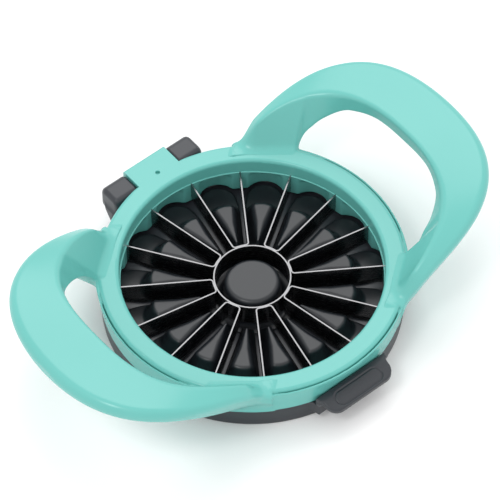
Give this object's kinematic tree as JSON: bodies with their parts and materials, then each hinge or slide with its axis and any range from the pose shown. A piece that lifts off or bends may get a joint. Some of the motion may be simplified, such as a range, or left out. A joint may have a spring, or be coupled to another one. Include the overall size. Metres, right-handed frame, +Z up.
{
  "type": "apple slicer wedger press",
  "caption": "Round apple slicer with two raised loop handles, radial steel blades and a core ring, hinged over a pusher base with a thumb tab.",
  "frame": {"origin": "centre of the base on the surface it stands on", "axes": "+Z up, +X along the line of the two handles, +Y towards the hinge, -Y towards the thumb tab"},
  "size_m": [0.1904, 0.13, 0.0441],
  "materials": {
    "teal_plastic": "smooth semi-gloss",
    "grey_plastic": "fine satin",
    "blade_steel": "rolled strip, polished",
    "pin_steel": "turned"
  },
  "bodies": {
    "base": {"base_tray": "grey_plastic", "pusher_fingers": "grey_plastic", "core_pusher": "grey_plastic", "hinge_pin": "pin_steel"},
    "cutting_frame": {"handle_frame": "teal_plastic", "clamp_ring": "teal_plastic", "blade_carrier": "teal_plastic", "core_ring": "blade_steel", "blade_pair_1": "blade_steel", "blade_pair_2": "blade_steel", "blade_pair_3": "blade_steel", "blade_pair_4": "blade_steel", "blade_pair_5": "blade_steel", "blade_pair_6": "blade_steel", "blade_pair_7": "blade_steel", "blade_pair_8": "blade_steel"}
  },
  "joints": [
    {"name": "frame_hinge", "type": "hinge", "parent": "base", "child": "cutting_frame", "pos_m": [0, 0.0597, 0.0155], "axis": [-1, 0, 0], "range_deg": [0, 150]}
  ]
}
